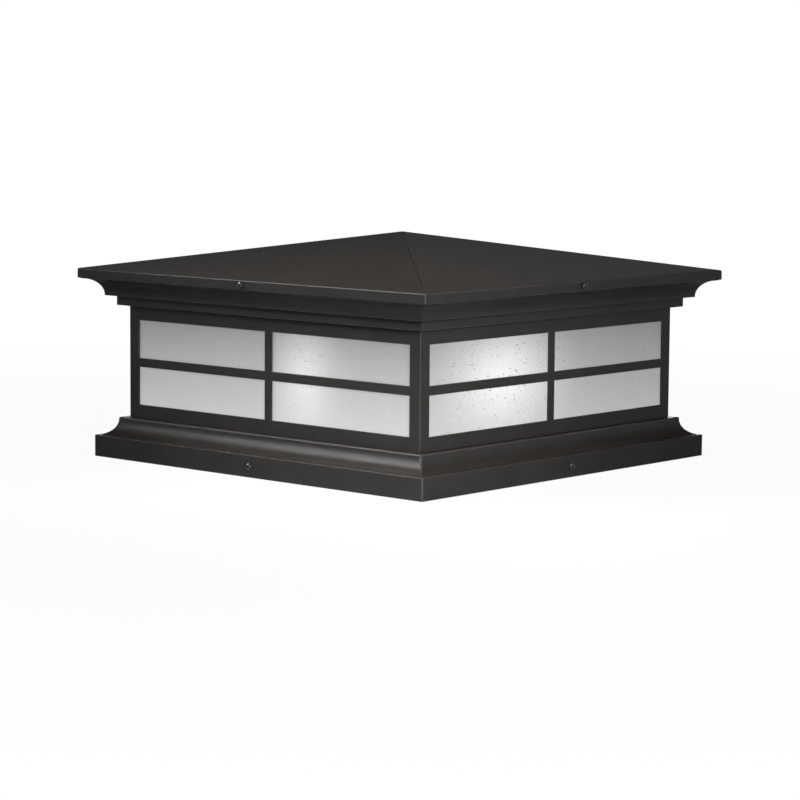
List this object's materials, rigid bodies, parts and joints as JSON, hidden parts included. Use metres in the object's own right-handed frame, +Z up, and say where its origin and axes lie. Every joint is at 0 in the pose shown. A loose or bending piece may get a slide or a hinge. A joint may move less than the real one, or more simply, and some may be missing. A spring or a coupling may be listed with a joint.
{
  "type": "deck post cap light",
  "caption": "Square outdoor post cap lantern with a low pyramid roof, seeded glass panes behind glazing bars and a stepped moulding that slips over a post.",
  "frame": {"origin": "centre of the base moulding's bottom edge, which is the bottom centre of the box", "axes": "+Z up along the post, +X and +Y square to the sides; the front side faces -Y"},
  "size_m": [0.4112, 0.4112, 0.2009],
  "materials": {
    "black_paint": "fine textured satin powder coat, warm black",
    "black_screws": "blackened pan head screws",
    "seeded_glass": "frosted seeded sheet with fine bubbles, lit from inside",
    "zinc_steel": "zinc plated",
    "rubber": "matt black",
    "white_paint": "gloss white reflector paint",
    "ceramic": null,
    "brass": "bare, slightly dull",
    "lamp_glass": "pearl lamp glass, lit",
    "tungsten": "fine coiled wire",
    "lead_black": "flexible insulation, black",
    "lead_white": "flexible insulation, white",
    "nylon": "natural nylon"
  },
  "bodies": {
    "lantern": {"base_moulding": "black_paint", "base_screws": "black_screws", "window_cage": "black_paint", "glass_front": "seeded_glass", "glass_right": "seeded_glass", "glass_back": "seeded_glass", "glass_left": "seeded_glass", "retainer_front_right": "zinc_steel", "retainer_back_right": "zinc_steel", "retainer_back_left": "zinc_steel", "retainer_front_left": "zinc_steel", "cushions_front_right": "rubber", "cushions_back_right": "rubber", "cushions_back_left": "rubber", "cushions_front_left": "rubber", "floor_plate": "white_paint", "floor_screws": "zinc_steel", "retainer_screws": "zinc_steel", "crown_moulding": "black_paint", "crown_screws": "zinc_steel", "crown_nuts": "zinc_steel", "lamp_bracket": "white_paint", "lampholder": "ceramic", "lampholder_contacts": "brass", "holder_screws": "zinc_steel", "holder_nuts": "zinc_steel", "lead_left": "lead_black", "lead_right": "lead_white", "lead_clip": "nylon", "terminal_block": "nylon", "terminal_sleeves": "brass", "terminal_screws": "zinc_steel", "wire_grommet": "rubber", "fitting_screws": "zinc_steel", "fitting_nuts": "zinc_steel"},
    "roof": {"roof_lid": "black_paint", "roof_screws": "black_screws", "roof_nuts": "zinc_steel"},
    "lamp": {"lamp_glass": "lamp_glass", "lamp_filament": "tungsten"}
  },
  "joints": [
    {"name": "roof_lift", "type": "slide", "parent": "lantern", "child": "roof", "axis": [0, 0, 1], "range_m": [0, 0.11]},
    {"name": "lamp_pull", "type": "slide", "parent": "lantern", "child": "lamp", "axis": [0, -1, 0], "range_m": [0, 0.018]}
  ]
}
